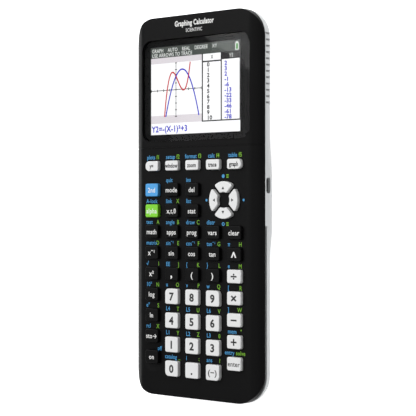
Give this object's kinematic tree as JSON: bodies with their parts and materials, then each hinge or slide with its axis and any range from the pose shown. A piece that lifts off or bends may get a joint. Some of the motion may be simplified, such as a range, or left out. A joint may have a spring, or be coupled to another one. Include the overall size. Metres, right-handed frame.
{
  "type": "graphing calculator",
  "caption": "Slim handheld graphing calculator with a recessed colour display, sprung keys in a grid, an arrow ring, a charging socket and a battery door.",
  "frame": {"origin": "middle of the bounding box's footprint, on the plane of the four feet", "axes": "+X to the keypad's right, +Y towards the display end, +Z out of the keypad"},
  "size_m": [0.0842, 0.19, 0.0157],
  "materials": {
    "front_shell": "satin black moulded plastic",
    "rear_shell": "satin pale grey-white moulded plastic",
    "window": "clear window with a black printed border",
    "display": "lit colour display",
    "key_white": "white moulded key",
    "key_black": "black moulded key",
    "key_blue": "light blue moulded key",
    "key_green": "lime green moulded key",
    "key_mat": "silicone rubber",
    "circuit_board": "solder-masked board",
    "battery": "foil pouch",
    "screws": "zinc plated",
    "feet": "soft rubber"
  },
  "bodies": {
    "case": {"front_cover": "front_shell", "rear_cover": "rear_shell", "display_window": "window", "display_module": "display", "circuit_board": "circuit_board", "key_mat": "key_mat", "battery_pack": "battery", "battery_door": "rear_shell", "screws": "screws", "feet": "feet"},
    "y_equals_key": {"key_y_equals": "key_white"},
    "window_key": {"key_window": "key_white"},
    "zoom_key": {"key_zoom": "key_white"},
    "trace_key": {"key_trace": "key_white"},
    "graph_key": {"key_graph": "key_white"},
    "second_key": {"key_second": "key_blue"},
    "mode_key": {"key_mode": "key_black"},
    "delete_key": {"key_delete": "key_black"},
    "alpha_key": {"key_alpha": "key_green"},
    "variable_key": {"key_variable": "key_black"},
    "stat_key": {"key_stat": "key_black"},
    "math_key": {"key_math": "key_black"},
    "apps_key": {"key_apps": "key_black"},
    "program_key": {"key_program": "key_black"},
    "vars_key": {"key_vars": "key_black"},
    "clear_key": {"key_clear": "key_black"},
    "reciprocal_key": {"key_reciprocal": "key_black"},
    "sin_key": {"key_sin": "key_black"},
    "cos_key": {"key_cos": "key_black"},
    "tan_key": {"key_tan": "key_black"},
    "power_key": {"key_power": "key_black"},
    "square_key": {"key_square": "key_black"},
    "comma_key": {"key_comma": "key_black"},
    "open_bracket_key": {"key_open_bracket": "key_black"},
    "close_bracket_key": {"key_close_bracket": "key_black"},
    "divide_key": {"key_divide": "key_white"},
    "log_key": {"key_log": "key_black"},
    "multiply_key": {"key_multiply": "key_white"},
    "ln_key": {"key_ln": "key_black"},
    "minus_key": {"key_minus": "key_white"},
    "store_key": {"key_store": "key_black"},
    "plus_key": {"key_plus": "key_white"},
    "on_key": {"key_on": "key_black"},
    "enter_key": {"key_enter": "key_white"},
    "digit_7_key": {"key_digit_7": "key_white"},
    "digit_8_key": {"key_digit_8": "key_white"},
    "digit_9_key": {"key_digit_9": "key_white"},
    "digit_4_key": {"key_digit_4": "key_white"},
    "digit_5_key": {"key_digit_5": "key_white"},
    "digit_6_key": {"key_digit_6": "key_white"},
    "digit_1_key": {"key_digit_1": "key_white"},
    "digit_2_key": {"key_digit_2": "key_white"},
    "digit_3_key": {"key_digit_3": "key_white"},
    "digit_0_key": {"key_digit_0": "key_white"},
    "decimal_key": {"key_decimal": "key_white"},
    "negative_key": {"key_negative": "key_white"},
    "up_key": {"key_up": "key_white"},
    "left_key": {"key_left": "key_white"},
    "down_key": {"key_down": "key_white"},
    "right_key": {"key_right": "key_white"}
  },
  "joints": [
    {"name": "y_equals_press", "type": "slide", "parent": "case", "child": "y_equals_key", "axis": [0, 0, -1], "range_m": [0, 0.0009], "stiffness_N_per_m": 600, "springref_m": -0.0003},
    {"name": "window_press", "type": "slide", "parent": "case", "child": "window_key", "axis": [0, 0, -1], "range_m": [0, 0.0009], "stiffness_N_per_m": 600, "springref_m": -0.0003},
    {"name": "zoom_press", "type": "slide", "parent": "case", "child": "zoom_key", "axis": [0, 0, -1], "range_m": [0, 0.0009], "stiffness_N_per_m": 600, "springref_m": -0.0003},
    {"name": "trace_press", "type": "slide", "parent": "case", "child": "trace_key", "axis": [0, 0, -1], "range_m": [0, 0.0009], "stiffness_N_per_m": 600, "springref_m": -0.0003},
    {"name": "graph_press", "type": "slide", "parent": "case", "child": "graph_key", "axis": [0, 0, -1], "range_m": [0, 0.0009], "stiffness_N_per_m": 600, "springref_m": -0.0003},
    {"name": "second_press", "type": "slide", "parent": "case", "child": "second_key", "axis": [0, 0, -1], "range_m": [0, 0.0009], "stiffness_N_per_m": 600, "springref_m": -0.0003},
    {"name": "mode_press", "type": "slide", "parent": "case", "child": "mode_key", "axis": [0, 0, -1], "range_m": [0, 0.0009], "stiffness_N_per_m": 600, "springref_m": -0.0003},
    {"name": "delete_press", "type": "slide", "parent": "case", "child": "delete_key", "axis": [0, 0, -1], "range_m": [0, 0.0009], "stiffness_N_per_m": 600, "springref_m": -0.0003},
    {"name": "alpha_press", "type": "slide", "parent": "case", "child": "alpha_key", "axis": [0, 0, -1], "range_m": [0, 0.0009], "stiffness_N_per_m": 600, "springref_m": -0.0003},
    {"name": "variable_press", "type": "slide", "parent": "case", "child": "variable_key", "axis": [0, 0, -1], "range_m": [0, 0.0009], "stiffness_N_per_m": 600, "springref_m": -0.0003},
    {"name": "stat_press", "type": "slide", "parent": "case", "child": "stat_key", "axis": [0, 0, -1], "range_m": [0, 0.0009], "stiffness_N_per_m": 600, "springref_m": -0.0003},
    {"name": "math_press", "type": "slide", "parent": "case", "child": "math_key", "axis": [0, 0, -1], "range_m": [0, 0.0009], "stiffness_N_per_m": 600, "springref_m": -0.0003},
    {"name": "apps_press", "type": "slide", "parent": "case", "child": "apps_key", "axis": [0, 0, -1], "range_m": [0, 0.0009], "stiffness_N_per_m": 600, "springref_m": -0.0003},
    {"name": "program_press", "type": "slide", "parent": "case", "child": "program_key", "axis": [0, 0, -1], "range_m": [0, 0.0009], "stiffness_N_per_m": 600, "springref_m": -0.0003},
    {"name": "vars_press", "type": "slide", "parent": "case", "child": "vars_key", "axis": [0, 0, -1], "range_m": [0, 0.0009], "stiffness_N_per_m": 600, "springref_m": -0.0003},
    {"name": "clear_press", "type": "slide", "parent": "case", "child": "clear_key", "axis": [0, 0, -1], "range_m": [0, 0.0009], "stiffness_N_per_m": 600, "springref_m": -0.0003},
    {"name": "reciprocal_press", "type": "slide", "parent": "case", "child": "reciprocal_key", "axis": [0, 0, -1], "range_m": [0, 0.0009], "stiffness_N_per_m": 600, "springref_m": -0.0003},
    {"name": "sin_press", "type": "slide", "parent": "case", "child": "sin_key", "axis": [0, 0, -1], "range_m": [0, 0.0009], "stiffness_N_per_m": 600, "springref_m": -0.0003},
    {"name": "cos_press", "type": "slide", "parent": "case", "child": "cos_key", "axis": [0, 0, -1], "range_m": [0, 0.0009], "stiffness_N_per_m": 600, "springref_m": -0.0003},
    {"name": "tan_press", "type": "slide", "parent": "case", "child": "tan_key", "axis": [0, 0, -1], "range_m": [0, 0.0009], "stiffness_N_per_m": 600, "springref_m": -0.0003},
    {"name": "power_press", "type": "slide", "parent": "case", "child": "power_key", "axis": [0, 0, -1], "range_m": [0, 0.0009], "stiffness_N_per_m": 600, "springref_m": -0.0003},
    {"name": "square_press", "type": "slide", "parent": "case", "child": "square_key", "axis": [0, 0, -1], "range_m": [0, 0.0009], "stiffness_N_per_m": 600, "springref_m": -0.0003},
    {"name": "comma_press", "type": "slide", "parent": "case", "child": "comma_key", "axis": [0, 0, -1], "range_m": [0, 0.0009], "stiffness_N_per_m": 600, "springref_m": -0.0003},
    {"name": "open_bracket_press", "type": "slide", "parent": "case", "child": "open_bracket_key", "axis": [0, 0, -1], "range_m": [0, 0.0009], "stiffness_N_per_m": 600, "springref_m": -0.0003},
    {"name": "close_bracket_press", "type": "slide", "parent": "case", "child": "close_bracket_key", "axis": [0, 0, -1], "range_m": [0, 0.0009], "stiffness_N_per_m": 600, "springref_m": -0.0003},
    {"name": "divide_press", "type": "slide", "parent": "case", "child": "divide_key", "axis": [0, 0, -1], "range_m": [0, 0.0009], "stiffness_N_per_m": 600, "springref_m": -0.0003},
    {"name": "log_press", "type": "slide", "parent": "case", "child": "log_key", "axis": [0, 0, -1], "range_m": [0, 0.0009], "stiffness_N_per_m": 600, "springref_m": -0.0003},
    {"name": "multiply_press", "type": "slide", "parent": "case", "child": "multiply_key", "axis": [0, 0, -1], "range_m": [0, 0.0009], "stiffness_N_per_m": 600, "springref_m": -0.0003},
    {"name": "ln_press", "type": "slide", "parent": "case", "child": "ln_key", "axis": [0, 0, -1], "range_m": [0, 0.0009], "stiffness_N_per_m": 600, "springref_m": -0.0003},
    {"name": "minus_press", "type": "slide", "parent": "case", "child": "minus_key", "axis": [0, 0, -1], "range_m": [0, 0.0009], "stiffness_N_per_m": 600, "springref_m": -0.0003},
    {"name": "store_press", "type": "slide", "parent": "case", "child": "store_key", "axis": [0, 0, -1], "range_m": [0, 0.0009], "stiffness_N_per_m": 600, "springref_m": -0.0003},
    {"name": "plus_press", "type": "slide", "parent": "case", "child": "plus_key", "axis": [0, 0, -1], "range_m": [0, 0.0009], "stiffness_N_per_m": 600, "springref_m": -0.0003},
    {"name": "on_press", "type": "slide", "parent": "case", "child": "on_key", "axis": [0, 0, -1], "range_m": [0, 0.0009], "stiffness_N_per_m": 600, "springref_m": -0.0003},
    {"name": "enter_press", "type": "slide", "parent": "case", "child": "enter_key", "axis": [0, 0, -1], "range_m": [0, 0.0009], "stiffness_N_per_m": 600, "springref_m": -0.0003},
    {"name": "digit_7_press", "type": "slide", "parent": "case", "child": "digit_7_key", "axis": [0, 0, -1], "range_m": [0, 0.0009], "stiffness_N_per_m": 600, "springref_m": -0.0003},
    {"name": "digit_8_press", "type": "slide", "parent": "case", "child": "digit_8_key", "axis": [0, 0, -1], "range_m": [0, 0.0009], "stiffness_N_per_m": 600, "springref_m": -0.0003},
    {"name": "digit_9_press", "type": "slide", "parent": "case", "child": "digit_9_key", "axis": [0, 0, -1], "range_m": [0, 0.0009], "stiffness_N_per_m": 600, "springref_m": -0.0003},
    {"name": "digit_4_press", "type": "slide", "parent": "case", "child": "digit_4_key", "axis": [0, 0, -1], "range_m": [0, 0.0009], "stiffness_N_per_m": 600, "springref_m": -0.0003},
    {"name": "digit_5_press", "type": "slide", "parent": "case", "child": "digit_5_key", "axis": [0, 0, -1], "range_m": [0, 0.0009], "stiffness_N_per_m": 600, "springref_m": -0.0003},
    {"name": "digit_6_press", "type": "slide", "parent": "case", "child": "digit_6_key", "axis": [0, 0, -1], "range_m": [0, 0.0009], "stiffness_N_per_m": 600, "springref_m": -0.0003},
    {"name": "digit_1_press", "type": "slide", "parent": "case", "child": "digit_1_key", "axis": [0, 0, -1], "range_m": [0, 0.0009], "stiffness_N_per_m": 600, "springref_m": -0.0003},
    {"name": "digit_2_press", "type": "slide", "parent": "case", "child": "digit_2_key", "axis": [0, 0, -1], "range_m": [0, 0.0009], "stiffness_N_per_m": 600, "springref_m": -0.0003},
    {"name": "digit_3_press", "type": "slide", "parent": "case", "child": "digit_3_key", "axis": [0, 0, -1], "range_m": [0, 0.0009], "stiffness_N_per_m": 600, "springref_m": -0.0003},
    {"name": "digit_0_press", "type": "slide", "parent": "case", "child": "digit_0_key", "axis": [0, 0, -1], "range_m": [0, 0.0009], "stiffness_N_per_m": 600, "springref_m": -0.0003},
    {"name": "decimal_press", "type": "slide", "parent": "case", "child": "decimal_key", "axis": [0, 0, -1], "range_m": [0, 0.0009], "stiffness_N_per_m": 600, "springref_m": -0.0003},
    {"name": "negative_press", "type": "slide", "parent": "case", "child": "negative_key", "axis": [0, 0, -1], "range_m": [0, 0.0009], "stiffness_N_per_m": 600, "springref_m": -0.0003},
    {"name": "up_press", "type": "slide", "parent": "case", "child": "up_key", "axis": [0, 0, -1], "range_m": [0, 0.0009], "stiffness_N_per_m": 600, "springref_m": -0.0003},
    {"name": "left_press", "type": "slide", "parent": "case", "child": "left_key", "axis": [0, 0, -1], "range_m": [0, 0.0009], "stiffness_N_per_m": 600, "springref_m": -0.0003},
    {"name": "down_press", "type": "slide", "parent": "case", "child": "down_key", "axis": [0, 0, -1], "range_m": [0, 0.0009], "stiffness_N_per_m": 600, "springref_m": -0.0003},
    {"name": "right_press", "type": "slide", "parent": "case", "child": "right_key", "axis": [0, 0, -1], "range_m": [0, 0.0009], "stiffness_N_per_m": 600, "springref_m": -0.0003}
  ]
}
